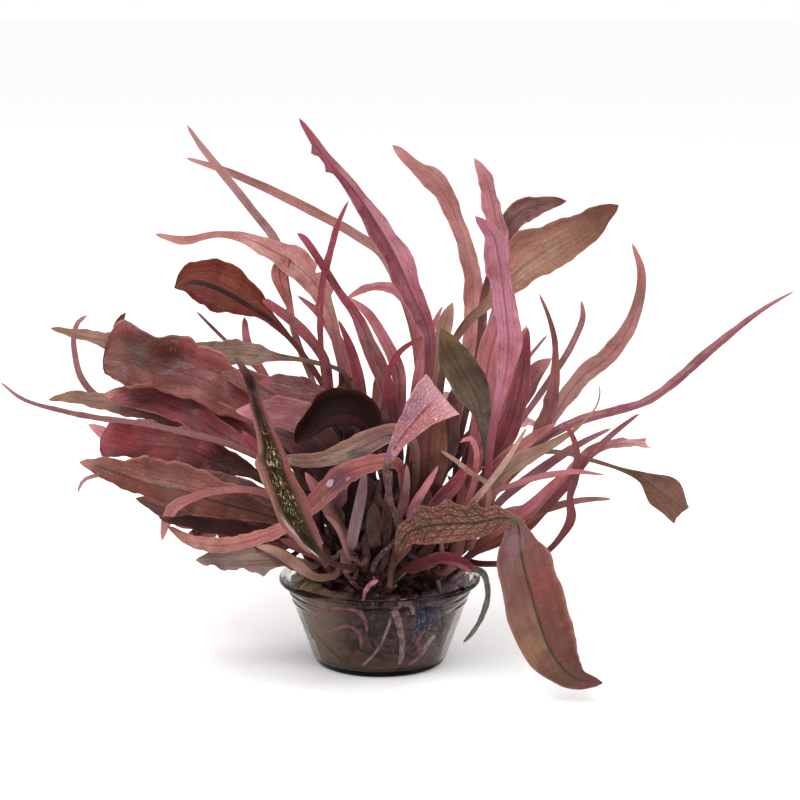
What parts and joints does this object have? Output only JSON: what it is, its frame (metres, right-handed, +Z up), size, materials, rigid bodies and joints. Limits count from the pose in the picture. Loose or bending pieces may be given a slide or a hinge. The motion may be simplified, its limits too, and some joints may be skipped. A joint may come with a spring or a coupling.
{
  "type": "potted aquarium plant",
  "caption": "Bushy clump of narrow crimson, rose, bronze and olive leaves on short crowns, rooted in murky gel in a small clear tapered pot that stands on its flat base.",
  "frame": {"origin": "middle of the pot's flat base", "axes": "+Z up, out of the pot's mouth; +X to the right and -Y towards the viewer of the plant's showier side"},
  "size_m": [0.1579, 0.1033, 0.1082],
  "materials": {
    "leaf_crimson": "satin crimson leaf with a darker midrib and fine veins",
    "leaf_rose": "satin rose-pink leaf with parallel veins",
    "leaf_salmon": "satin salmon leaf that fades to brown",
    "leaf_purple": "satin purple-pink strap-like leaf",
    "leaf_mauve": "dull mauve leaf, brown towards its stalk",
    "leaf_maroon": "dark maroon leaf with a pink rim",
    "leaf_brown": "red-brown leaf with a dark midrib",
    "leaf_bronze": "bronze leaf with an olive midrib",
    "leaf_olive": "olive-brown leaf with pink margins, wet gloss in its channel",
    "leaf_tan": "pale tan, slightly see-through leaf",
    "leaf_rust": "rusty leaf with a net of dark veins",
    "leaf_withered": "withered grey-brown leaf",
    "crown": "dark knobbly stem with leaf scars",
    "root_pale": "pale fleshy root",
    "root_pink": "pink fleshy root",
    "root_brown": "brown fibrous root",
    "root_olive": "olive-grey root",
    "gel": "murky see-through rooting gel, glossy on top",
    "pot": "thin clear moulded plastic"
  },
  "bodies": {
    "root": {"pot": "pot", "gel": "gel", "crown_left": "crown", "crown_back_left": "crown", "crown_centre": "crown", "crown_front": "crown", "crown_right": "crown", "crown_back_right": "crown", "root_pale_front": "root_pale", "root_pink_arch": "root_pink", "root_brown_side": "root_brown", "root_over_rim": "root_olive", "leaf_tall_crimson": "leaf_crimson", "leaf_thin_crimson": "leaf_crimson", "leaf_thin_upright": "leaf_crimson", "leaf_small_arch": "leaf_salmon", "leaf_deep_crimson": "leaf_crimson", "leaf_mauve_inner": "leaf_rose", "leaf_arching_top_left": "leaf_rose", "leaf_long_left": "leaf_mauve", "leaf_round_crimson": "leaf_crimson", "leaf_salmon_left": "leaf_salmon", "leaf_pink_hook": "leaf_rose", "leaf_withered_low": "leaf_withered", "leaf_tan_left": "leaf_olive", "leaf_olive_tip_left": "leaf_olive", "leaf_broad_maroon": "leaf_maroon", "leaf_ovate_brown": "leaf_brown", "leaf_olive_bar": "leaf_olive", "leaf_salmon_torn": "leaf_salmon", "leaf_slender_top_left": "leaf_mauve", "leaf_back_tall": "leaf_crimson", "leaf_back_left": "leaf_brown", "leaf_front_folded": "leaf_olive", "leaf_low_arc": "leaf_salmon", "leaf_cut_pink": "leaf_rose", "leaf_brown_lip": "leaf_brown", "leaf_dark_cupped": "leaf_maroon", "leaf_rusty_hanging": "leaf_rust", "leaf_olive_upright": "leaf_olive", "leaf_short_rose": "leaf_rose", "leaf_inner_bronze": "leaf_brown", "leaf_purple_strap": "leaf_purple", "leaf_front_reed": "leaf_tan", "leaf_thin_right": "leaf_crimson", "leaf_wavy_stem": "leaf_crimson", "leaf_tan_hook": "leaf_tan", "leaf_long_right": "leaf_mauve", "leaf_rose_tall": "leaf_salmon", "leaf_rose_upright": "leaf_rose", "leaf_bronze_blade": "leaf_bronze", "leaf_dark_blade": "leaf_maroon", "leaf_salmon_stemmed": "leaf_salmon", "leaf_crimson_diagonal": "leaf_crimson", "leaf_curved_right": "leaf_rose", "leaf_cut_pink_right": "leaf_rose", "leaf_spoon": "leaf_brown", "leaf_faint_right": "leaf_mauve", "leaf_back_upright": "leaf_bronze", "leaf_back_right": "leaf_rose"}
  },
  "joints": []
}
